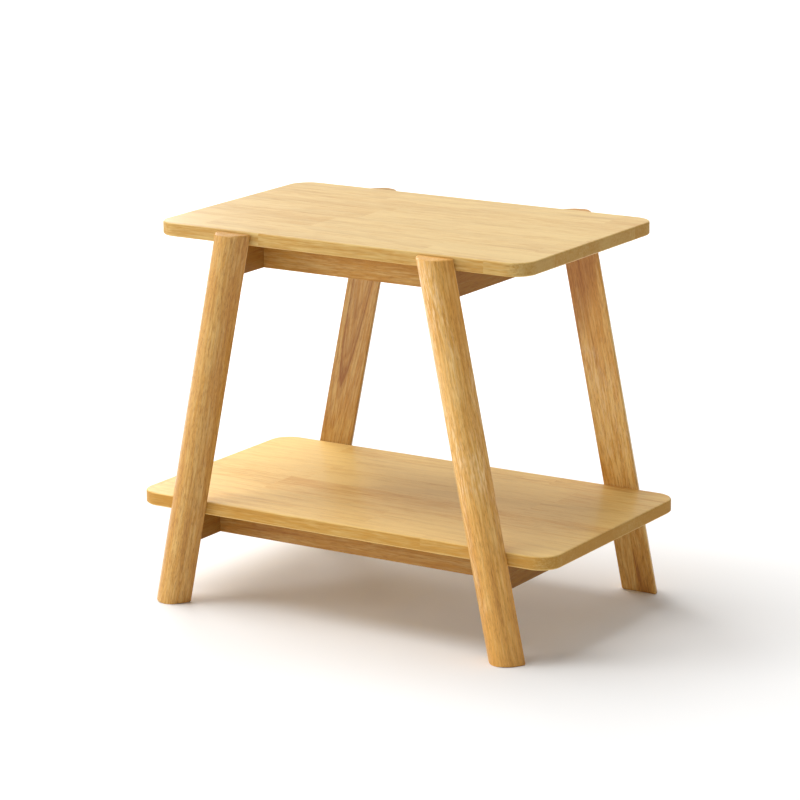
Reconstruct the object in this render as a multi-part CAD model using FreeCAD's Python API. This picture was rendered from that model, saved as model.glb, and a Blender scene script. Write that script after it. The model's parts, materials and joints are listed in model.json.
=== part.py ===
"""End table with a lower shelf, in millimetres.

Four half-round legs lean outwards along the length of the table. A frame of upright rails under the top
and another under the shelf join the legs, and both panels lie between the legs' flat inner faces.
+Z is up and +X runs to the right end. The front is -Y, and the origin is on the floor under the centre.
"""

import FreeCAD
import Part
import math
import os

# Panels
TABLE_HEIGHT = 550.0         # floor to the top surface
TOP_LENGTH = 600.0
TOP_THICKNESS = 19.0
SHELF_LENGTH = 680.0
SHELF_THICKNESS = 19.0
SHELF_UNDERSIDE = 134.0      # floor to the shelf's underside
PANEL_DEPTH = 374.0          # both panels, front edge to rear edge
PANEL_CORNER_RADIUS = 32.0   # corners seen from above
PANEL_EDGE_RADIUS = 2.5      # rounded upper edges
PANEL_LOWER_CHAMFER = 1.8    # eased lower edges

# Legs
LEG_WIDTH = 57.0             # across the flat face, square to the leg
LEG_DEPTH = 29.0             # flat face to nose
LEG_NOSE_RADIUS = 22.0       # arc over the middle of the rounded side
LEG_NOSE_TURN = 45.0         # degrees from the flat face's direction to where the nose arc starts
LEG_CORNER_RADIUS = 2.5      # eased edges of the flat face
LEG_END_CHAMFER = 1.6        # eased ends
LEG_SPLAY = 11.75            # degrees from upright, along the table
LEG_TOP_DROP = 3.0           # top surface down to the leg's end
FOOT_SPACING = 554.0         # along the table, between the feet's centres

# Rails
RAIL_HEIGHT = 44.5
RAIL_THICKNESS = 19.0
RAIL_EDGE_RADIUS = 1.5       # eased lower edges
LONG_RAIL_SETBACK = 65.0     # panel's long edge to the rail's outer face
SIDE_RAIL_INSET = 3.0        # leg's centre line to the rail's centre, at the rail's mid height

# Loose tenons, one to a joint
TENON_THICKNESS = 8.0
TENON_SHOULDER = 8.0         # wood left in a rail above and below its mortise
TENON_CHAMFER = 1.0          # eased ends
TENON_END_GAP = 1.0          # glue space at the bottom of each mortise
END_GRAIN_DEPTH = 23.0       # mortise in the end of a rail
LEG_WALL_AT_TENON = 10.0     # wood left between a mortise and the nose of the leg
RAIL_WALL_AT_TENON = 6.0     # wood left between a mortise and the outer face of a side rail

# Countersunk screws, driven up through the long rails into the panels
SCREW_DIAMETER = 4.5
SCREW_HEAD_DIAMETER = 9.0
SCREW_HEAD_HEIGHT = 2.4
SCREW_POINT_LENGTH = 3.0
SCREW_COVER = 3.5            # panel wood left above the point
SCREW_HOLE_CLEARANCE = 0.5   # on the diameter, in the rail
SCREW_END_DISTANCE = 75.0    # end of a long rail to its screw

UP = FreeCAD.Vector(0, 0, 1)
ALONG = FreeCAD.Vector(1, 0, 0)
BACK = FreeCAD.Vector(0, 1, 0)
ORIGIN = FreeCAD.Vector(0, 0, 0)
SAME_PLACE = 1e-6            # two lengths nearer than this are the same

SPLAY = math.radians(LEG_SPLAY)
FLAT_FACE_Y = PANEL_DEPTH / 2
LONG_RAIL_Y = FLAT_FACE_Y - LONG_RAIL_SETBACK - RAIL_THICKNESS / 2
LEG_TOP = TABLE_HEIGHT - LEG_TOP_DROP
TENON_HEIGHT = RAIL_HEIGHT - 2 * TENON_SHOULDER
LEG_MORTISE_DEPTH = LEG_DEPTH - LEG_WALL_AT_TENON
CROSS_GRAIN_DEPTH = RAIL_THICKNESS - RAIL_WALL_AT_TENON


def leg_centre_x(height):
    """Distance of a leg's centre line from the middle of the table."""
    return FOOT_SPACING / 2 - height * math.tan(SPLAY)


class RailFrame:
    """Places of the rails, tenons and screws under one panel."""

    def __init__(self, panel_underside, panel_thickness):
        self.top = panel_underside
        self.bottom = panel_underside - RAIL_HEIGHT
        self.middle = panel_underside - RAIL_HEIGHT / 2
        self.side_x = leg_centre_x(self.middle) - SIDE_RAIL_INSET
        self.long_rail_end = self.side_x - RAIL_THICKNESS / 2
        self.screw_x = self.long_rail_end - SCREW_END_DISTANCE
        self.screw_bite = panel_thickness - SCREW_COVER

    def screw_places(self, height):
        """Points on the axes of the four screws that hold this frame's panel."""
        sides = (-1, 1)
        return [FreeCAD.Vector(i * self.screw_x, j * LONG_RAIL_Y, height) for i in sides for j in sides]


UPPER = RailFrame(TABLE_HEIGHT - TOP_THICKNESS, TOP_THICKNESS)
LOWER = RailFrame(SHELF_UNDERSIDE, SHELF_THICKNESS)


def edges_at_height(shape, *heights):
    """Edges of a shape that lie wholly in one of the level planes."""
    found = []
    for edge in shape.Edges:
        box = edge.BoundBox
        for height in heights:
            if max(abs(box.ZMin - height), abs(box.ZMax - height)) < SAME_PLACE:
                found.append(edge)
    return found


def bore(place, direction, diameter, depth):
    """Cutter for a round hole."""
    return Part.makeCylinder(diameter / 2, depth, place, direction)


def turned(profile, place):
    """Upright solid of revolution from (radius, height) points, stood at a place."""
    points = [FreeCAD.Vector(radius, 0, height) for radius, height in profile]
    solid = Part.Face(Part.makePolygon(points + points[:1])).revolve(ORIGIN, UP, 360)
    solid.translate(place)
    return solid


def panel(length, thickness, underside, frame):
    """Solid wood panel with rounded corners, eased edges and pilot holes for its screws."""
    corner = FreeCAD.Vector(-length / 2, -FLAT_FACE_Y, underside)
    blank = Part.makeBox(length, PANEL_DEPTH, thickness, corner)
    uprights = [edge for edge in blank.Edges if edge.BoundBox.ZLength > thickness / 2]
    rounded = blank.makeFillet(PANEL_CORNER_RADIUS, uprights)
    softened = rounded.makeFillet(PANEL_EDGE_RADIUS, edges_at_height(rounded, underside + thickness))
    eased = softened.makeChamfer(PANEL_LOWER_CHAMFER, edges_at_height(softened, underside))
    pilots = [bore(place, UP, SCREW_DIAMETER, frame.screw_bite) for place in frame.screw_places(underside)]
    return eased.cut(pilots)


def leg_section():
    """Outline of a leg square to its length: flat at y = 0, nose arc and two shoulder arcs towards -y."""
    half = LEG_WIDTH / 2
    turn = math.radians(LEG_NOSE_TURN)
    nose_y = LEG_DEPTH - LEG_NOSE_RADIUS
    # The shoulder circle touches the nose circle at the turn and passes through the flat face's edge.
    extra = (half**2 + nose_y**2 - LEG_NOSE_RADIUS**2) / 2
    extra /= LEG_NOSE_RADIUS - half * math.cos(turn) + nose_y * math.sin(turn)
    shoulder_radius = LEG_NOSE_RADIUS + extra
    shoulder_x = -extra * math.cos(turn)
    shoulder_y = nose_y - extra * math.sin(turn)
    # The corner circle touches the flat face and the inside of the shoulder circle.
    rise = LEG_CORNER_RADIUS - shoulder_y
    corner_x = shoulder_x + math.sqrt((shoulder_radius - LEG_CORNER_RADIUS) ** 2 - rise**2)
    start = math.atan2(rise, corner_x - shoulder_x)

    def around(x, y, radius, angle, side):
        return FreeCAD.Vector(side * (x + radius * math.cos(angle)), -y - radius * math.sin(angle), 0)

    def half_outline(side):
        flat_end = around(corner_x, LEG_CORNER_RADIUS, LEG_CORNER_RADIUS, -math.pi / 2, side)
        corner_mid = around(corner_x, LEG_CORNER_RADIUS, LEG_CORNER_RADIUS, (start - math.pi / 2) / 2, side)
        shoulder_start = around(shoulder_x, shoulder_y, shoulder_radius, start, side)
        shoulder_mid = around(shoulder_x, shoulder_y, shoulder_radius, (start + turn) / 2, side)
        nose_start = around(0, nose_y, LEG_NOSE_RADIUS, turn, side)
        arcs = [
            Part.Arc(flat_end, corner_mid, shoulder_start),
            Part.Arc(shoulder_start, shoulder_mid, nose_start),
        ]
        return flat_end, arcs, nose_start

    right_flat, right_arcs, right_nose = half_outline(1)
    left_flat, left_arcs, left_nose = half_outline(-1)
    nose = Part.Arc(right_nose, FreeCAD.Vector(0, -LEG_DEPTH, 0), left_nose)
    flat = Part.LineSegment(left_flat, right_flat)
    curves = right_arcs + [nose] + left_arcs[::-1] + [flat]
    return Part.Wire(Part.__sortEdges__([curve.toShape() for curve in curves]))


def key(joint, direction, behind, ahead):
    """Square-edged bar that reaches behind and ahead of a joint: a tenon, or a mortise's cutter."""
    across = direction.cross(UP) * TENON_THICKNESS
    corner = joint - direction * behind - across / 2 - UP * TENON_HEIGHT / 2
    sides = [corner, corner + across, corner + across + UP * TENON_HEIGHT, corner + UP * TENON_HEIGHT]
    return Part.Face(Part.makePolygon(sides + sides[:1])).extrude(direction * (behind + ahead))


def loose_tenon(joint, direction, depth_behind, depth_ahead):
    """Wooden bar with eased ends, short of the two mortises' bottoms by the glue space."""
    bar = key(joint, direction, depth_behind - TENON_END_GAP, depth_ahead - TENON_END_GAP)
    ends = [edge for edge in bar.Edges if abs(edge.tangentAt(0).dot(direction)) < SAME_PLACE]
    return bar.makeChamfer(TENON_CHAMFER, ends)


def front_right_leg():
    """Moulded length leaning outwards, cut level at both ends, with mortises in its flat face."""
    length = LEG_TOP / math.cos(SPLAY) + 2 * LEG_WIDTH
    stock = Part.Face(leg_section()).extrude(UP * length)
    stock.translate(UP * -LEG_WIDTH)
    stock.rotate(ORIGIN, BACK, -LEG_SPLAY)
    stock.translate(FreeCAD.Vector(FOOT_SPACING / 2, -FLAT_FACE_Y, 0))
    room = stock.BoundBox
    level_slab = Part.makeBox(
        room.XLength, room.YLength, LEG_TOP, FreeCAD.Vector(room.XMin, room.YMin, 0)
    )
    cut_level = stock.common(level_slab)
    eased = cut_level.makeChamfer(LEG_END_CHAMFER, edges_at_height(cut_level, 0, LEG_TOP))
    mortises = []
    for frame in (UPPER, LOWER):
        joint = FreeCAD.Vector(frame.side_x, -FLAT_FACE_Y, frame.middle)
        mortises.append(key(joint, -BACK, 0, LEG_MORTISE_DEPTH))
    return eased.cut(mortises)


def rail_blank(length_x, length_y, frame, centre_x, centre_y):
    """Upright board with its two long lower edges eased."""
    corner = FreeCAD.Vector(centre_x - length_x / 2, centre_y - length_y / 2, frame.bottom)
    blank = Part.makeBox(length_x, length_y, RAIL_HEIGHT, corner)
    longest = max(length_x, length_y)
    lower = [edge for edge in edges_at_height(blank, frame.bottom) if edge.Length > longest - SAME_PLACE]
    return blank.makeFillet(RAIL_EDGE_RADIUS, lower)


def right_side_rail(frame):
    """Board between two legs, mortised in its ends for the legs and in its inner face for the long rails."""
    blank = rail_blank(RAIL_THICKNESS, PANEL_DEPTH, frame, frame.side_x, 0)
    mortises = []
    for side in (-1, 1):
        end = FreeCAD.Vector(frame.side_x, side * FLAT_FACE_Y, frame.middle)
        mortises.append(key(end, BACK * side, END_GRAIN_DEPTH, 0))
        face = FreeCAD.Vector(frame.long_rail_end, side * LONG_RAIL_Y, frame.middle)
        mortises.append(key(face, ALONG, 0, CROSS_GRAIN_DEPTH))
    return blank.cut(mortises)


def front_long_rail(frame):
    """Board between the two side rails, mortised in both ends and drilled upwards for its screws."""
    blank = rail_blank(2 * frame.long_rail_end, RAIL_THICKNESS, frame, 0, -LONG_RAIL_Y)
    cutters = []
    for side in (-1, 1):
        end = FreeCAD.Vector(side * frame.long_rail_end, -LONG_RAIL_Y, frame.middle)
        cutters.append(key(end, ALONG * side, END_GRAIN_DEPTH, 0))
        cutters.append(screw_hole(FreeCAD.Vector(side * frame.screw_x, -LONG_RAIL_Y, frame.bottom)))
    return blank.cut(cutters)


def leg_tenons(frame):
    """Bars from the ends of the side rails into the legs."""
    bars = []
    for x in (-frame.side_x, frame.side_x):
        for side in (-1, 1):
            joint = FreeCAD.Vector(x, side * FLAT_FACE_Y, frame.middle)
            bars.append(loose_tenon(joint, BACK * side, END_GRAIN_DEPTH, LEG_MORTISE_DEPTH))
    return Part.makeCompound(bars)


def rail_tenons(frame):
    """Bars from the ends of the long rails into the side rails."""
    bars = []
    for y in (-LONG_RAIL_Y, LONG_RAIL_Y):
        for side in (-1, 1):
            joint = FreeCAD.Vector(side * frame.long_rail_end, y, frame.middle)
            bars.append(loose_tenon(joint, ALONG * side, END_GRAIN_DEPTH, CROSS_GRAIN_DEPTH))
    return Part.makeCompound(bars)


def screw_hole(place):
    """Cutter for a countersunk clearance hole, up through a rail."""
    head = SCREW_HEAD_DIAMETER / 2
    hole = (SCREW_DIAMETER + SCREW_HOLE_CLEARANCE) / 2
    seat = SCREW_HEAD_HEIGHT * (head - hole) / (head - SCREW_DIAMETER / 2)
    return turned([(0, 0), (head, 0), (hole, seat), (hole, RAIL_HEIGHT), (0, RAIL_HEIGHT)], place)


def screws(frame):
    """Screws with their heads flush in the rails and their points in the panel."""
    length = RAIL_HEIGHT + frame.screw_bite
    head = SCREW_HEAD_DIAMETER / 2
    shank = SCREW_DIAMETER / 2
    profile = [
        (0, 0),
        (head, 0),
        (shank, SCREW_HEAD_HEIGHT),
        (shank, length - SCREW_POINT_LENGTH),
        (0, length),
    ]
    return Part.makeCompound([turned(profile, place) for place in frame.screw_places(frame.bottom)])


def mirrored(shape, direction):
    """The same piece on the other side of the table's middle plane."""
    return shape.mirror(ORIGIN, direction)


def build():
    """All pieces by node name."""
    pieces = {
        "table_top": panel(TOP_LENGTH, TOP_THICKNESS, UPPER.top, UPPER),
        "shelf": panel(SHELF_LENGTH, SHELF_THICKNESS, LOWER.top, LOWER),
        "top_screws": screws(UPPER),
        "shelf_screws": screws(LOWER),
    }
    for row, leg in (("front", front_right_leg()), ("rear", mirrored(front_right_leg(), BACK))):
        pieces[f"leg_{row}_right"] = leg
        pieces[f"leg_{row}_left"] = mirrored(leg, ALONG)
    for level, frame in (("upper", UPPER), ("lower", LOWER)):
        side_rail = right_side_rail(frame)
        long_rail = front_long_rail(frame)
        pieces[f"{level}_side_rail_right"] = side_rail
        pieces[f"{level}_side_rail_left"] = mirrored(side_rail, ALONG)
        pieces[f"{level}_front_rail"] = long_rail
        pieces[f"{level}_rear_rail"] = mirrored(long_rail, BACK)
        pieces[f"{level}_leg_tenons"] = leg_tenons(frame)
        pieces[f"{level}_rail_tenons"] = rail_tenons(frame)
    return pieces


def main():
    os.makedirs("parts", exist_ok=True)
    for name, shape in build().items():
        if not shape.isValid():
            raise ValueError(f"{name} is not a valid solid")
        shape.exportStep(f"parts/{name}.step")


if __name__ == "__main__":
    main()
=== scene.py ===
"""Looks of an end table: lacquered solid wood, countersunk screws, a pale floor and soft studio light."""

import json
import math
from dataclasses import dataclass

import bmesh
import bpy
from mathutils import Euler, Matrix, Vector


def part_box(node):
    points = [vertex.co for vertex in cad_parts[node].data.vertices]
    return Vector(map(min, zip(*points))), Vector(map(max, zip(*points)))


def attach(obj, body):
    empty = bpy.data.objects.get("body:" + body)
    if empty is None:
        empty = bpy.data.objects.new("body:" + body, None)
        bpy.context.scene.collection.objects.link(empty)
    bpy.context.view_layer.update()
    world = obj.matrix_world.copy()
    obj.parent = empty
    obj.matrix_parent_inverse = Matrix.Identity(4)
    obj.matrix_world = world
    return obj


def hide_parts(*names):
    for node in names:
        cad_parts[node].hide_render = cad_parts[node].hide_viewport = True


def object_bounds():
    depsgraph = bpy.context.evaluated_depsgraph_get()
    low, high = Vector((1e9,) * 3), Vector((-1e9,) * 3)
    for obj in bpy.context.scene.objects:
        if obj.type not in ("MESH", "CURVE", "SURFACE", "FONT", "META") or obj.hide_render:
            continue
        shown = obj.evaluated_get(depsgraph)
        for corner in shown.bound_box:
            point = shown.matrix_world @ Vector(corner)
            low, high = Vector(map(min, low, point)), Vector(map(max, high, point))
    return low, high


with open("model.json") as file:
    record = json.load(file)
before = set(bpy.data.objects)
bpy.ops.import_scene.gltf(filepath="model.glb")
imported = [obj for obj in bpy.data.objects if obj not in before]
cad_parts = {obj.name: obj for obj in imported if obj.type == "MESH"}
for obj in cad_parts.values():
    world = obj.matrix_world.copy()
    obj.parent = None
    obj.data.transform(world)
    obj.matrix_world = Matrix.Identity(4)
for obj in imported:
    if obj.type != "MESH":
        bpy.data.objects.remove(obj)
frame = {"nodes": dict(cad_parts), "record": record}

bl_info = {
    "name": "End Table Looks",
    "version": (1, 0, 0),
    "blender": (4, 5, 0),
    "location": "View3D > Sidebar > End Table",
    "description": "Lacquered wood, screws and a plain studio for an end table with a shelf",
    "category": "Object",
}

CAD_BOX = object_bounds()
TABLE_CENTRE = (CAD_BOX[0] + CAD_BOX[1]) / 2
SIDES = (("left", -1), ("right", 1))
ROWS = (("front", -1), ("rear", 1))
LEVELS = ("upper", "lower")

ALONG_Y = (0, 0, -math.pi / 2)   # turn that brings grain along Y onto X
UP = (0, 0, 1)
MIDDLE = (0.5, 0.5, 0.5)         # middle of a random colour, taken off to centre it on zero

RING = 32                        # corners round a screw
THREAD_STEPS = 16                # corners in one turn of a thread
THREAD_SINK = 0.9                # share of the core's radius where the thread starts, inside the core
SHARP_EDGE = math.radians(35)    # edges bent more than this stay crisp

FLOOR_SIZE = 60.0
SENSOR_WIDTH = 36.0              # of the camera, in millimetres


def leg_foot():
    """Half the distance between the feet, and the legs' lean from upright."""
    low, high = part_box("leg_front_right")
    mounts = {mount["name"]: mount for mount in frame["record"]["mounts"]}
    foot = mounts["foot_front_right"]["pos_m"][0]
    half_width = high.x - foot
    return foot, math.atan2(foot - low.x - half_width, high.z)


FOOT_X, LEG_LEAN = leg_foot()
LEG_FLAT_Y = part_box("leg_rear_left")[0].y


class Num:
    """A value in a material's node tree. Arithmetic on it adds Math nodes."""

    def __init__(self, finish, socket):
        self.finish = finish
        self.socket = socket

    def math(self, operation, *values):
        return self.finish.node("ShaderNodeMath", {"operation": operation}, dict(enumerate(values)))

    def __add__(self, other):
        return self.math("ADD", self, other)

    def __sub__(self, other):
        return self.math("SUBTRACT", self, other)

    def __rsub__(self, other):
        return self.math("SUBTRACT", other, self)

    def __mul__(self, other):
        return self.math("MULTIPLY", self, other)

    def __truediv__(self, other):
        return self.math("DIVIDE", self, other)

    def __pow__(self, other):
        return self.math("POWER", self, other)

    def __abs__(self):
        return self.math("ABSOLUTE", self)

    __radd__ = __add__
    __rmul__ = __mul__

    def floor(self):
        return self.math("FLOOR", self)

    def fraction(self):
        return self.math("FRACT", self)


class Finish:
    """A material under construction."""

    def __init__(self, name):
        self.material = bpy.data.materials.new(name)
        self.material.use_nodes = True
        self.tree = self.material.node_tree
        self.tree.nodes.clear()

    def node(self, kind, settings, inputs, output=0):
        """Adds one node: its settings first, then a value or a link for each named or numbered socket."""
        made = self.tree.nodes.new(kind)
        for key, value in settings.items():
            setattr(made, key, value)
        for key, value in inputs.items():
            if isinstance(value, Num):
                self.tree.links.new(value.socket, made.inputs[key])
            else:
                made.inputs[key].default_value = value
        return Num(self, made.outputs[output] if made.outputs else None)

    def object_point(self, turn=(0, 0, 0), shift=(0, 0, 0)):
        """The surface point in the piece's own coordinates, turned and shifted."""
        point = self.node("ShaderNodeTexCoord", {}, {}, "Object")
        return self.node("ShaderNodeMapping", {}, {"Vector": point, "Rotation": turn, "Location": shift})

    def facing(self, direction):
        """How squarely the surface faces along a direction, either way: 0 to 1."""
        normal = self.node("ShaderNodeTexCoord", {}, {}, "Normal")
        return abs(self.vector("DOT_PRODUCT", normal, direction, output="Value"))

    def vector(self, operation, *values, output=0):
        return self.node("ShaderNodeVectorMath", {"operation": operation}, dict(enumerate(values)), output)

    def split(self, vector):
        return [self.node("ShaderNodeSeparateXYZ", {}, {"Vector": vector}, axis) for axis in "XYZ"]

    def noise(self, point, scale, detail=2.0, output="Fac"):
        """Noise with its own scale along each axis, in features per metre."""
        stretched = self.vector("MULTIPLY", point, scale)
        inputs = {"Vector": stretched, "Scale": 1.0, "Detail": detail}
        return self.node("ShaderNodeTexNoise", {}, inputs, output)

    def chance(self, number, output="Value"):
        """The same random value wherever the number is the same."""
        return self.node("ShaderNodeTexWhiteNoise", {"noise_dimensions": "1D"}, {"W": number}, output)

    def step(self, value, low, high):
        """0 below low, 1 above high and smooth between."""
        limits = {"Value": value, "From Min": low, "From Max": high}
        return self.node("ShaderNodeMapRange", {"interpolation_type": "SMOOTHSTEP"}, limits)

    def mix(self, factor, first, second, blend="MIX"):
        """Colour mix."""
        settings = {"data_type": "RGBA", "blend_type": blend}
        return self.node("ShaderNodeMix", settings, {0: factor, 6: first, 7: second}, 2)

    def grey(self, value):
        return self.node("ShaderNodeCombineColor", {}, {0: value, 1: value, 2: value})

    def bump(self, height, strength, depth):
        return self.node("ShaderNodeBump", {}, {"Height": height, "Strength": strength, "Distance": depth})

    def surface(self, inputs):
        """Ends the tree in one Principled shader and gives the material."""
        shader = self.node("ShaderNodeBsdfPrincipled", {}, inputs)
        self.node("ShaderNodeOutputMaterial", {}, {"Surface": shader})
        return self.material


class WoodSettings(bpy.types.PropertyGroup):
    """Colours and finish of the wood."""

    cream: bpy.props.FloatVectorProperty(
        name="Cream flecks", description="Short pale flecks",
        subtype="COLOR", default=(0.88, 0.66, 0.36),
    )
    pale: bpy.props.FloatVectorProperty(
        name="Pale wood", description="Lightest wood", subtype="COLOR", default=(0.83, 0.576, 0.205)
    )
    honey: bpy.props.FloatVectorProperty(
        name="Honey wood", description="Main tone of the wood",
        subtype="COLOR", default=(0.66, 0.340, 0.066),
    )
    brown: bpy.props.FloatVectorProperty(
        name="Brown wood", description="Late wood and dark streaks",
        subtype="COLOR", default=(0.34, 0.125, 0.024),
    )
    pore: bpy.props.FloatVectorProperty(
        name="Pores", description="Short open pores along the grain",
        subtype="COLOR", default=(0.33, 0.115, 0.018),
    )
    stave_width: bpy.props.FloatProperty(
        name="Stave width", description="Width of the blocks glued into a panel",
        unit="LENGTH", default=0.075,
    )
    block_length: bpy.props.FloatProperty(
        name="Block length", description="Length of the blocks glued into a panel",
        unit="LENGTH", default=0.36,
    )
    roughness: bpy.props.FloatProperty(
        name="Roughness", description="Roughness of the wood under the lacquer",
        subtype="FACTOR", default=0.45,
    )
    lacquer: bpy.props.FloatProperty(
        name="Lacquer", description="Weight of the clear coat", subtype="FACTOR", default=0.45
    )
    lacquer_roughness: bpy.props.FloatProperty(
        name="Lacquer roughness", description="Roughness of the clear coat",
        subtype="FACTOR", default=0.22,
    )


class ScrewSettings(bpy.types.PropertyGroup):
    """Sizes of the countersunk screws."""

    head: bpy.props.FloatProperty(
        name="Head", description="Diameter of the head", unit="LENGTH", default=0.0090
    )
    head_height: bpy.props.FloatProperty(
        name="Head height", description="Height of the head's cone", unit="LENGTH", default=0.0024
    )
    thread: bpy.props.FloatProperty(
        name="Thread", description="Diameter over the thread", unit="LENGTH", default=0.0045
    )
    core: bpy.props.FloatProperty(
        name="Core", description="Diameter of the core", unit="LENGTH", default=0.0031
    )
    pitch: bpy.props.FloatProperty(
        name="Pitch", description="Rise of one turn", unit="LENGTH", default=0.0022
    )
    point: bpy.props.FloatProperty(
        name="Point", description="Length of the point", unit="LENGTH", default=0.0040
    )
    plain: bpy.props.FloatProperty(
        name="Plain shank", description="Share of the length with no thread",
        subtype="FACTOR", default=0.4,
    )
    recess: bpy.props.FloatProperty(
        name="Recess", description="Width of the cross in the head", unit="LENGTH", default=0.0050
    )
    recess_depth: bpy.props.FloatProperty(
        name="Recess depth", description="Depth of the cross", unit="LENGTH", default=0.0016
    )
    slot: bpy.props.FloatProperty(
        name="Slot", description="Width of one arm of the cross", unit="LENGTH", default=0.0012
    )
    ease: bpy.props.FloatProperty(
        name="Ease", description="Rounding of the head's rim", unit="LENGTH", default=0.0002
    )


class StudioSettings(bpy.types.PropertyGroup):
    """Camera and light."""

    azimuth: bpy.props.FloatProperty(
        name="Azimuth", description="Camera's turn from the front",
        subtype="ANGLE", default=math.radians(32.1),
    )
    elevation: bpy.props.FloatProperty(
        name="Elevation", description="Camera's height angle",
        subtype="ANGLE", default=math.radians(13.9),
    )
    roll: bpy.props.FloatProperty(
        name="Roll", description="Camera's turn about its view",
        subtype="ANGLE", default=math.radians(-0.29),
    )
    distance: bpy.props.FloatProperty(
        name="Distance", description="Camera to its target", unit="LENGTH", default=4.813
    )
    target: bpy.props.FloatVectorProperty(
        name="Target", description="Point in the middle of the picture",
        subtype="XYZ", unit="LENGTH", default=(-0.010, -0.002, 0.289),
    )
    lens: bpy.props.FloatProperty(
        name="Lens", description="Focal length", unit="CAMERA", default=152.25
    )
    sky: bpy.props.FloatProperty(
        name="Sky", description="Strength of the even white surroundings", default=0.28
    )
    sun: bpy.props.FloatProperty(
        name="Sun", description="Strength of the soft light from above", default=2.4
    )
    strip: bpy.props.FloatProperty(
        name="Strip", description="Power of the upright light behind on the left",
        unit="POWER", default=22.0,
    )
    fill: bpy.props.FloatProperty(
        name="Fill", description="Power of the low light at the front left",
        unit="POWER", default=50.0,
    )
    panel: bpy.props.FloatProperty(
        name="Panel", description="Power of the wide light behind", unit="POWER", default=30.0
    )
    wash: bpy.props.FloatProperty(
        name="Wash", description="Power of the light on the floor far behind",
        unit="POWER", default=60.0,
    )


@dataclass
class Cut:
    """How a piece was sawn from its log, in the piece's turned coordinates: X along the grain."""

    turn: tuple = (0, 0, 0)          # Euler turn that brings the grain onto X
    shift: tuple = (0, 0, 0)         # then moves the piece's own zero
    heart: tuple = (0.09, 0.03)      # where the centre of the rings and of the darker core lies on Y and Z
    drift: tuple = (0.01, 0.02)      # how far that centre moves for each metre along the grain
    spacing: float = 0.006           # from ring to ring
    rings: float = 0.2               # strength of the rings
    waver: float = 0.010             # how far the grain wanders across
    heartwood_and_shade: float = 0.0           # radius of the darker core about the heart: heartwood on the rear left leg, painted shade on the other legs
    blur: float = 0.05               # share of that radius over which the darker core fades out
    fill: float = 0.4                # how dark it is inside, against its rim
    tone: float = 0.5                # 0 pale to 1 honey
    palest: float = 0.0              # where along the grain the piece is palest
    fade: float = 0.0                # rise of the tone for each metre away from there
    umber: float = 0.0               # share of brown
    streaks: float = 1.0             # strength of the long streaks
    grain: float = 1.0               # strength of the fine lines between them
    pores: float = 0.6               # strength of the short dark pores and dashes
    bloom: float = 0.0               # strength of the short pale flecks
    blocks: float = 0.0              # difference between the blocks glued into a panel
    edges: float = 0.0               # how much warmer and darker a panel's edges are than its faces: partly the edge staves' own wood, partly painted shade
    shade: float = 1.0               # brightness of the whole piece: partly its own tone, partly painted light and shade set for each piece
    lacquer: float = 1.0             # share of the lacquer, 0 for bare wood


@dataclass
class Pattern:
    """Noise stretched along the grain."""

    scale: tuple                     # features per metre, along the grain and across it both ways
    detail: float = 2.0
    share: float = 0.0               # how far it moves the tone between pale and honey


WANDER = Pattern((2.6, 14.0, 14.0))
RING_WOBBLE = Pattern((3.0, 40.0, 40.0))
BROAD = Pattern((1.9, 24.0, 24.0), share=1.1)
STREAK = Pattern((5.5, 95.0, 95.0), 3.0, share=1.4)
FINE = Pattern((20.0, 330.0, 330.0), share=1.8)
LINE = Pattern((42.0, 720.0, 720.0), share=1.6)
DASH = Pattern((75.0, 640.0, 640.0), 1.0)
FIBRE = Pattern((60.0, 1300.0, 1300.0))
PORE = Pattern((130.0, 2300.0, 2300.0), 1.0)
BLOOM_PATCH = Pattern((6.0, 26.0, 26.0), 1.0)
BLOOM_FLECK = Pattern((55.0, 480.0, 480.0), 1.0)

RINGS_PER_WAVER = 90                 # rings that a metre of waver pushes a ring aside by
BLOCK_STAGGER = 7                    # block lengths over which the staves are shifted at random
STAVE_SEED, BLOCK_SEED = 31.7, 5.3   # give each block of each stave a number of its own
BLOCK_MOVE = (2.0, 0.05, 0.04)       # metres over which neighbouring blocks are taken from the log
EDGE_SHADE = 0.2                     # how much painted shade darkens a panel's edges where they are warmer by 1

HEART_AND_SHADE_BROWN = 0.7                    # brown in the darker core: heartwood, and painted shade on three legs
STREAK_BROWN = 0.3                   # brown in the darkest streaks
DASH_BROWN = 0.35                    # brown in the short dashes
FADE_BROWN = 0.6                     # brown where the tone has risen far past honey, painted shade at the rear right leg's top
PORE_DEPTH = 0.7                     # how much of the pores' own colour shows
FIBRE_SHINE = 0.24                   # how much the fibres change the brightness
END_HONEY = 0.4                      # how far end grain turns to honey
END_SHADE = 0.08                     # how much darker end grain is
END_SOAKS = 0.8                      # share of the lacquer that soaks into end grain
BARE_ROUGHNESS = 0.2                 # how much rougher bare wood is
RELIEF_STRENGTH = 0.2                # of fibres, rings and pores in the surface
RELIEF_DEPTH = 0.0004


def pattern(finish, point, kind, output="Fac"):
    """Noise of one kind at a point."""
    return finish.noise(point, kind.scale, kind.detail, output)


def glued_blocks(finish, point, cut, settings):
    """Tone of a panel's glued blocks, and the point moved to another part of the log in each one."""
    along, across, _ = finish.split(point)
    stave = (across / settings.stave_width).floor()
    block = (along / settings.block_length + finish.chance(stave) * BLOCK_STAGGER).floor()
    number = stave * STAVE_SEED + block * BLOCK_SEED
    moved = finish.vector("SUBTRACT", finish.chance(number, "Color"), MIDDLE)
    moved = finish.vector("MULTIPLY", moved, BLOCK_MOVE)
    return (finish.chance(number) - 0.5) * cut.blocks, finish.vector("ADD", point, moved)


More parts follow.
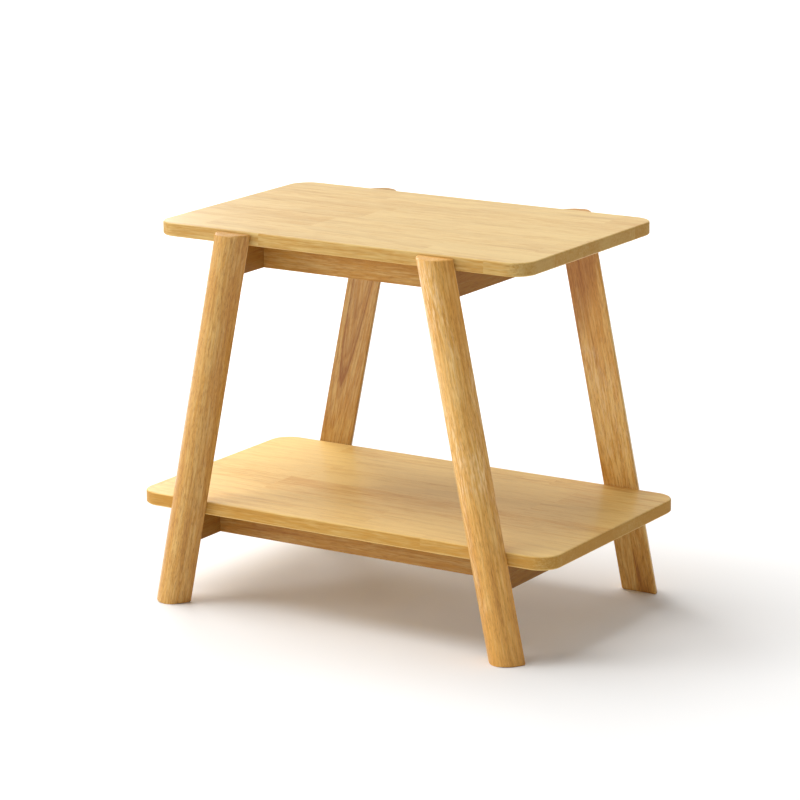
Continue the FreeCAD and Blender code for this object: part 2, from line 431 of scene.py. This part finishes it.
def growth_rings(finish, point, cut):
    """Strength of the late wood, and strength of the darker core, which is darkest at its rim: heartwood,
    and painted shade on some legs.
    """
    along, across, down = finish.split(point)
    across = across - cut.heart[0] - along * cut.drift[0]
    down = down - cut.heart[1] - along * cut.drift[1]
    radius = (across * across + down * down) ** 0.5
    wobble = pattern(finish, point, RING_WOBBLE) * (cut.waver * RINGS_PER_WAVER)
    phase = radius / cut.spacing + wobble
    ring = phase.fraction()
    late = finish.step(ring, 0.30, 0.90) * (1 - finish.step(ring, 0.90, 1.0))
    late = late * (0.25 + finish.chance(phase.floor()) * 0.75) * cut.rings
    if not cut.heartwood_and_shade:
        return late, 0.0
    inside = 1 - finish.step(radius, cut.heartwood_and_shade * (1 - cut.blur), cut.heartwood_and_shade)
    rim = finish.step(radius, cut.heartwood_and_shade * 0.88, cut.heartwood_and_shade * 0.97)
    return late, inside * (cut.fill + rim * (1 - cut.fill))


def lie_of_wood(finish, start, cut, settings):
    """Where the surface lies in the log as the grain wanders, its tone and its brightness."""
    wander = finish.vector("SUBTRACT", pattern(finish, start, WANDER, "Color"), MIDDLE)
    point = finish.vector("ADD", start, finish.vector("MULTIPLY", wander, (0, cut.waver, cut.waver)))
    tone, shade = cut.tone, cut.shade
    # Tone rising towards the ends of a leg: on the rear right leg, painted shade under the top and beneath
    # the shelf.
    if cut.fade:
        tone = tone + abs(finish.split(start)[0] - cut.palest) * cut.fade
    if cut.blocks:
        block_tone, point = glued_blocks(finish, point, cut, settings)
        tone = tone + block_tone
    # Upright faces of a panel: warmer, partly from their own wood, and darker with painted shade.
    if cut.edges:
        edge = 1 - finish.step(finish.facing(UP), 0.3, 0.8)
        tone = tone + edge * cut.edges
        shade = shade * (1 - edge * (cut.edges * EDGE_SHADE))
    return point, tone, shade


def pale_flecks(finish, start, point, darker, cut):
    """Strength of the short pale flecks, which lie in patches and leave out where the tone has been
    raised.
    """
    patch = finish.step(pattern(finish, start, BLOOM_PATCH) - darker * 0.6, 0.36, 0.58)
    return finish.step(pattern(finish, point, BLOOM_FLECK), 0.40, 0.70) * patch * cut.bloom


def grain_direction(turn):
    """The grain's direction on a piece whose grain a turn brings onto X."""
    return Euler(turn).to_matrix().inverted() @ Vector((1, 0, 0))


def wood(name, cut, settings):
    """Wood cut from a log: rings about a heart line, and streaks, lines and pores along the grain."""
    finish = Finish(name)
    start = finish.object_point(cut.turn, cut.shift)
    point, tone, shade = lie_of_wood(finish, start, cut, settings)
    late, heartwood_and_shade = growth_rings(finish, point, cut)
    broad, streak, fine, line, dash, fibre, pore = (
        pattern(finish, point, kind) for kind in (BROAD, STREAK, FINE, LINE, DASH, FIBRE, PORE)
    )
    pores = finish.step(pore, 0.52, 0.68) * finish.step(broad + fine, 0.65, 1.15) * cut.pores
    end_grain = finish.step(finish.facing(grain_direction(cut.turn)), 0.55, 0.95)

    honeyed = tone + (broad - 0.5) * BROAD.share + (streak - 0.5) * (STREAK.share * cut.streaks)
    honeyed = honeyed + (fine - 0.5) * (FINE.share * cut.grain)
    honeyed = honeyed + (line - 0.5) * (LINE.share * cut.grain)
    # The darker core adds brown: heartwood on the rear left leg, painted shade on the front legs' right
    # sides and at the rear right leg's top.
    browned = cut.umber + late + heartwood_and_shade * HEART_AND_SHADE_BROWN
    browned = browned + finish.step(streak, 0.56, 0.76) * (STREAK_BROWN * cut.streaks)
    browned = browned + finish.step(dash, 0.54, 0.70) * (DASH_BROWN * cut.pores)
    # More brown where the tone has risen far: painted shade at the rear right leg's top.
    if cut.fade:
        browned = browned + finish.step(honeyed, 0.9, 2.0) * FADE_BROWN

    colour = finish.mix(finish.step(honeyed, -0.1, 1.1), (*settings.pale, 1), (*settings.honey, 1))
    colour = finish.mix(browned, colour, (*settings.brown, 1))
    if cut.bloom:
        flecks = pale_flecks(finish, start, point, tone - cut.tone, cut)
        colour = finish.mix(flecks, colour, (*settings.cream, 1))
    colour = finish.mix(end_grain * END_HONEY, colour, (*settings.honey, 1))
    bright = (1 + (fibre - 0.5) * FIBRE_SHINE) * shade * (1 - end_grain * END_SHADE)
    colour = finish.mix(1.0, colour, finish.grey(bright), "MULTIPLY")
    colour = finish.mix(pores * PORE_DEPTH, colour, (*settings.pore, 1))

    height = fibre * 0.35 + fine * 0.25 - pores - late * 0.2
    roughness, coat_weight = settings.roughness + BARE_ROUGHNESS, 0.0
    if cut.lacquer:
        roughness = settings.roughness
        coat_weight = (1 - end_grain * END_SOAKS) * (settings.lacquer * cut.lacquer)
    return finish.surface({
        "Base Color": colour,
        "Roughness": roughness + (fibre - 0.5) * 0.12 + pores * 0.15 + end_grain * 0.1,
        "Normal": finish.bump(height, RELIEF_STRENGTH, RELIEF_DEPTH),
        "Specular IOR Level": 0.05 + 0.13 * cut.lacquer,
        "Coat Weight": coat_weight,
        "Coat Roughness": settings.lacquer_roughness,
    })


def coat(node, material):
    """Gives a node of the table its finish."""
    slots = frame["nodes"][node].data.materials
    slots.clear()
    slots.append(material)


def leg_cut(depth, end, **features):
    """Cut of a leg: X up its length from the foot, Y out from its flat face, Z across."""
    turn = (0, math.pi / 2 + end * LEG_LEAN, 0)
    shift = (0, -depth * LEG_FLAT_Y, end * FOOT_X * math.cos(LEG_LEAN))
    return Cut(turn, shift, **features)


class ENDTABLE_OT_panels(bpy.types.Operator):
    """Finish the table top and the shelf"""

    bl_idname = "endtable.panels"
    bl_label = "Finish Panels"

    def execute(self, context):
        settings = context.scene.endtable_wood
        panel = dict(rings=0.12, streaks=0.45, grain=0.75, pores=0.2, blocks=0.6)
        top = Cut(
            shift=(0.4, 0.03, 0), heart=(0.02, -0.9),
            tone=0.14, edges=0.2, shade=0.88, lacquer=0.4, **panel,
        )
        # The shelf is brighter than the top: painted light where the top shades it.
        shelf = Cut(
            shift=(2.3, 0.01, 0), heart=(-0.03, -0.3),
            tone=0.05, edges=0.8, shade=1.05, lacquer=0.2, **panel,
        )
        coat("table_top", wood("table_top", top, settings))
        coat("shelf", wood("shelf", shelf, settings))
        return {"FINISHED"}


class ENDTABLE_OT_legs(bpy.types.Operator):
    """Finish the four legs"""

    bl_idname = "endtable.legs"
    bl_label = "Finish Legs"

    def execute(self, context):
        settings = context.scene.endtable_wood
        features = {
            # The front legs' darker core lies off to one side: painted shade along their right sides.
            ("front", "left"): dict(
                heart=(0.0, -0.0635), heartwood_and_shade=0.06, blur=0.5,
                tone=0.72, umber=0.05, streaks=0.7, grain=0.8, pores=1.0, shade=1.05,
            ),
            ("front", "right"): dict(
                heart=(0.0, -0.0635), heartwood_and_shade=0.058, blur=0.6, palest=0.30, fade=1.1,
                tone=0.62, umber=0.07, streaks=0.6, grain=0.7, pores=0.7, bloom=0.6, shade=1.30,
            ),
            ("rear", "left"): dict(
                heart=(-0.0324, 0.015), drift=(0.05, -0.04), spacing=0.003, rings=0.35, waver=0.004,
                heartwood_and_shade=0.0226, blur=0.03, fill=0.15,
                tone=0.5, umber=0.16, streaks=0.7, pores=0.8, shade=0.82,
            ),
            # The rear right leg's darker core at its top, and its tone rising towards both ends, are
            # painted shade under the top and beneath the shelf.
            ("rear", "right"): dict(
                heart=(-0.01, 0.233), drift=(0.0, -0.467), rings=0.1,
                heartwood_and_shade=0.08, blur=0.4, fill=0.7, palest=0.18, fade=2.3,
                tone=0.35, pores=0.8, bloom=0.5, shade=1.12,
            ),
        }
        for row, depth in ROWS:
            for side, end in SIDES:
                node = f"leg_{row}_{side}"
                coat(node, wood(node, leg_cut(depth, end, **features[row, side]), settings))
        return {"FINISHED"}


class ENDTABLE_OT_rails(bpy.types.Operator):
    """Finish the long rails and the side rails"""

    bl_idname = "endtable.rails"
    bl_label = "Finish Rails"

    def execute(self, context):
        settings = context.scene.endtable_wood
        # Rails darker and more orange than the panels: painted shade under the top and the shelf, deepest
        # on the side rails.
        umber = {"upper": 0.24, "lower": 0.46}
        rail = dict(tone=0.75, shade=0.9, lacquer=0.4)
        side_rail = dict(tone=1.2, umber=0.35, shade=0.60, lacquer=0.1)
        for log, level in enumerate(LEVELS):
            for row, depth in ROWS:
                node = f"{level}_{row}_rail"
                shift = (3.1 * depth + log, 0, 0)
                cut = Cut(shift=shift, heart=(0.16 * depth, 0.3), umber=umber[level], **rail)
                coat(node, wood(node, cut, settings))
            for side, end in SIDES:
                node = f"{level}_side_rail_{side}"
                cut = Cut(ALONG_Y, (1.7 * end + log, 0, 0), heart=(0.1 * end, 0.3), **side_rail)
                coat(node, wood(node, cut, settings))
        return {"FINISHED"}


class ENDTABLE_OT_tenons(bpy.types.Operator):
    """Finish the loose tenons in bare wood"""

    bl_idname = "endtable.tenons"
    bl_label = "Finish Tenons"

    def execute(self, context):
        settings = context.scene.endtable_wood
        for level in LEVELS:
            for joint, turn in (("leg", ALONG_Y), ("rail", (0, 0, 0))):
                node = f"{level}_{joint}_tenons"
                coat(node, wood(node, Cut(turn, tone=0.3, pores=0.4, lacquer=0.0), settings))
        return {"FINISHED"}


def zinc_steel():
    """Bright zinc plating, a little cloudy."""
    finish = Finish("zinc_steel")
    point = finish.object_point()
    cloud = finish.noise(point, (260.0, 260.0, 260.0), 3.0)
    grain = finish.noise(point, (2600.0, 2600.0, 700.0))
    return finish.surface({
        "Base Color": finish.mix(cloud, (0.55, 0.55, 0.54, 1), (0.74, 0.73, 0.69, 1)),
        "Metallic": 1.0,
        "Roughness": 0.22 + cloud * 0.16 + grain * 0.08,
        "Normal": finish.bump(grain, 0.15, 0.0001),
    })


def corners(shape):
    """The vertices among a shape's parts."""
    return [item for item in shape if isinstance(item, bmesh.types.BMVert)]


def sides(shape):
    """The edges among a shape's parts."""
    return [item for item in shape if isinstance(item, bmesh.types.BMEdge)]


def cross_recess(shape, settings):
    """Cross-shaped hollow in the middle of a screw head's face, at height 0."""
    bmesh.ops.create_grid(shape, x_segments=3, y_segments=3, size=settings.recess / 2)
    for vert in shape.verts:
        for axis in (0, 1):
            if abs(vert.co[axis]) < settings.recess / 3:
                vert.co[axis] = math.copysign(settings.slot / 2, vert.co[axis])
    outer = []
    for face in shape.faces:
        middle = face.calc_center_median()
        if min(abs(middle.x), abs(middle.y)) > settings.slot / 2:
            outer.append(face)
    bmesh.ops.delete(shape, geom=outer, context="FACES")
    bmesh.ops.inset_region(
        shape, faces=shape.faces[:], thickness=settings.slot / 4, depth=-settings.recess_depth,
        use_boundary=True, use_even_offset=True,
    )


def screw_body(shape, length, settings):
    """Head, shank, core and point, drawn down from the rim of the head's face."""
    rim = [edge for edge in shape.edges if edge.is_boundary]
    face_radius = settings.head / 2 - settings.ease
    ring = bmesh.ops.create_circle(shape, radius=face_radius, segments=RING)["verts"]
    ring = list({edge for vert in ring for edge in vert.link_edges})
    bmesh.ops.bridge_loops(shape, edges=rim + ring)
    shank = settings.thread / 2 - settings.ease
    core = settings.core / 2
    depth, radius = 0.0, face_radius
    for next_radius, next_depth in (
        (settings.head / 2 - settings.ease / 2, settings.ease),
        (shank, settings.head_height),
        (shank, length * settings.plain),
        (core, length * settings.plain + shank - core),
        (core, length - settings.point),
        (core / 8, length - settings.ease),
    ):
        drawn = bmesh.ops.extrude_edge_only(shape, edges=ring)["geom"]
        growth = next_radius / radius
        bmesh.ops.translate(shape, verts=corners(drawn), vec=(0, 0, depth - next_depth))
        bmesh.ops.scale(shape, verts=corners(drawn), vec=(growth, growth, 1))
        ring, depth, radius = sides(drawn), next_depth, next_radius
    tip = bmesh.ops.extrude_edge_only(shape, edges=ring)["geom"]
    bmesh.ops.pointmerge(shape, verts=corners(tip), merge_co=(0, 0, -length))


def screw_thread(shape, length, settings):
    """Ridge wound down the core, running out at both ends."""
    root = settings.core / 2 * THREAD_SINK
    crest = settings.thread / 2
    top = -length * settings.plain - settings.pitch
    half = settings.pitch / 4
    ridge = (root, 0, top + half), (crest, 0, top), (root, 0, top - half)
    profile = [shape.verts.new(point) for point in ridge]
    start = shape.faces.new(profile)
    turns = (length * (1 - settings.plain) - settings.point) / settings.pitch - 1
    steps = round(turns * THREAD_STEPS)
    wound = bmesh.ops.spin(
        shape, geom=[start, *start.edges, *start.verts], cent=(0, 0, 0), axis=UP,
        dvec=(0, 0, -settings.pitch / THREAD_STEPS),
        angle=steps * 2 * math.pi / THREAD_STEPS, steps=steps,
    )
    run_out = THREAD_SINK * root / crest
    for end in (profile, corners(wound["geom_last"])):
        bmesh.ops.scale(shape, verts=end, vec=(run_out, run_out, 1))


def make_screws(node, steel, settings):
    """Four countersunk wood screws, points up, in place of a node."""
    low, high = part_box(node)
    shape = bmesh.new()
    cross_recess(shape, settings)
    screw_body(shape, high.z - low.z, settings)
    screw_thread(shape, high.z - low.z, settings)
    bmesh.ops.recalc_face_normals(shape, faces=shape.faces)
    bmesh.ops.rotate(shape, verts=shape.verts, cent=(0, 0, 0), matrix=Matrix.Rotation(math.pi, 3, "X"))
    for face in shape.faces:
        face.smooth = True
    for edge in shape.edges:
        edge.smooth = edge.calc_face_angle(0) < SHARP_EDGE
    first = shape.verts[:] + shape.edges[:] + shape.faces[:]
    place = high - Vector((settings.head, settings.head, 0)) / 2
    for end in (-1, 1):
        for depth in (-1, 1):
            copy = first
            if (end, depth) != (1, 1):
                copy = bmesh.ops.duplicate(shape, geom=first)["geom"]
            bmesh.ops.translate(shape, verts=corners(copy), vec=(end * place.x, depth * place.y, low.z))
    mesh = bpy.data.meshes.new(node + "_turned")
    shape.to_mesh(mesh)
    shape.free()
    mesh.materials.append(steel)
    piece = bpy.data.objects.new(node + "_turned", mesh)
    bpy.context.scene.collection.objects.link(piece)
    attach(piece, "root")
    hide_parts(node)


class ENDTABLE_OT_screws(bpy.types.Operator):
    """Model the countersunk screws that hold the top and the shelf"""

    bl_idname = "endtable.screws"
    bl_label = "Make Screws"

    def execute(self, context):
        steel = zinc_steel()
        for node in ("top_screws", "shelf_screws"):
            make_screws(node, steel, context.scene.endtable_screw)
        return {"FINISHED"}


def make_floor():
    """A wide pale floor."""
    shape = bmesh.new()
    bmesh.ops.create_grid(shape, x_segments=1, y_segments=1, size=FLOOR_SIZE / 2)
    mesh = bpy.data.meshes.new("floor")
    shape.to_mesh(mesh)
    shape.free()
    floor = bpy.data.objects.new("floor", mesh)
    bpy.context.scene.collection.objects.link(floor)
    finish = Finish("pale_floor")
    cloud = finish.noise(finish.object_point(), (1.5, 1.5, 1.5))
    tint = finish.mix(cloud, (0.89, 0.89, 0.885, 1), (0.92, 0.92, 0.915, 1))
    paint = finish.surface({"Base Color": tint, "Roughness": 0.9, "Specular IOR Level": 0.1})
    mesh.materials.append(paint)


def add_light(kind, name, place, target, **values):
    """A light that stands at a place, points at a target and is not itself in the picture."""
    lamp = bpy.data.lights.new(name, kind)
    for key, value in values.items():
        setattr(lamp, key, value)
    light = bpy.data.objects.new(name, lamp)
    bpy.context.scene.collection.objects.link(light)
    place, target = Vector(place), Vector(target)
    turn = (target - place).to_track_quat("-Z", "Y").to_matrix().to_4x4()
    light.matrix_world = Matrix.Translation(place) @ turn
    light.visible_camera = False


def make_lights(scene, studio):
    """White surroundings, soft light from above, three lights round the table and one on the far floor."""
    scene.view_settings.view_transform = "Standard"
    world = bpy.data.worlds.new("white_studio")
    scene.world = world
    world.use_nodes = True
    backdrop = world.node_tree.nodes["Background"]
    backdrop.inputs["Color"].default_value = (1, 1, 1, 1)
    backdrop.inputs["Strength"].default_value = studio.sky
    add_light(
        "SUN", "key_light", (-1.5, -0.3, 4.5), TABLE_CENTRE,
        energy=studio.sun, angle=math.radians(50),
    )
    for name, place, power, width, height in (
        ("left_strip", (-2.1, 1.6, 1.1), studio.strip, 0.9, 1.8),
        ("front_fill", (-2.7, -2.3, 1.25), studio.fill, 1.6, 1.2),
        ("back_panel", (-1.2, 3.4, 1.7), studio.panel, 4.5, 2.2),
    ):
        add_light(
            "AREA", name, place, TABLE_CENTRE,
            energy=power, shape="RECTANGLE", size=width, size_y=height,
        )
    add_light(
        "AREA", "floor_wash", (-3.2, 5.2, 3.0), (-3.2, 5.2, 0.0),
        energy=studio.wash, shape="SQUARE", size=5.0, spread=math.radians(60),
    )


def make_camera(scene, studio):
    """Camera at the photograph's viewing angle."""
    lens = bpy.data.cameras.new("camera")
    lens.lens = studio.lens
    lens.sensor_width = SENSOR_WIDTH
    camera = bpy.data.objects.new("camera", lens)
    scene.collection.objects.link(camera)
    level = Euler((math.pi / 2 - studio.elevation, 0, studio.azimuth)).to_matrix()
    view = level @ Matrix.Rotation(studio.roll, 3, "Z")
    place = Vector(studio.target) + view.col[2] * studio.distance
    camera.matrix_world = Matrix.Translation(place) @ view.to_4x4()
    scene.camera = camera


class ENDTABLE_OT_stage(bpy.types.Operator):
    """Add the floor, the lights and the camera"""

    bl_idname = "endtable.stage"
    bl_label = "Set Stage"

    def execute(self, context):
        studio = context.scene.endtable_studio
        make_floor()
        make_lights(context.scene, studio)
        make_camera(context.scene, studio)
        return {"FINISHED"}


class ENDTABLE_PT_sidebar(bpy.types.Panel):
    """Lists the steps and their settings"""

    bl_idname = "ENDTABLE_PT_sidebar"
    bl_label = "End Table"
    bl_space_type = "VIEW_3D"
    bl_region_type = "UI"
    bl_category = "End Table"

    def draw(self, context):
        for operator in OPERATORS:
            self.layout.operator(operator.bl_idname)
        for group, cls in SETTINGS.items():
            box = self.layout.box()
            for name in cls.__annotations__:
                box.prop(getattr(context.scene, group), name)


OPERATORS = (
    ENDTABLE_OT_panels, ENDTABLE_OT_legs, ENDTABLE_OT_rails, ENDTABLE_OT_tenons, ENDTABLE_OT_screws,
    ENDTABLE_OT_stage,
)
SETTINGS = {
    "endtable_wood": WoodSettings, "endtable_screw": ScrewSettings, "endtable_studio": StudioSettings,
}
CLASSES = (*SETTINGS.values(), *OPERATORS, ENDTABLE_PT_sidebar)


def register():
    for cls in CLASSES:
        bpy.utils.register_class(cls)
    for group, cls in SETTINGS.items():
        setattr(bpy.types.Scene, group, bpy.props.PointerProperty(type=cls))


def unregister():
    for group in SETTINGS:
        delattr(bpy.types.Scene, group)
    for cls in reversed(CLASSES):
        bpy.utils.unregister_class(cls)


def main():
    """Dress the table."""
    register()
    bpy.ops.endtable.panels()
    bpy.ops.endtable.legs()
    bpy.ops.endtable.rails()
    bpy.ops.endtable.tenons()
    bpy.ops.endtable.screws()
    bpy.ops.endtable.stage()


if __name__ == "__main__":
    main()
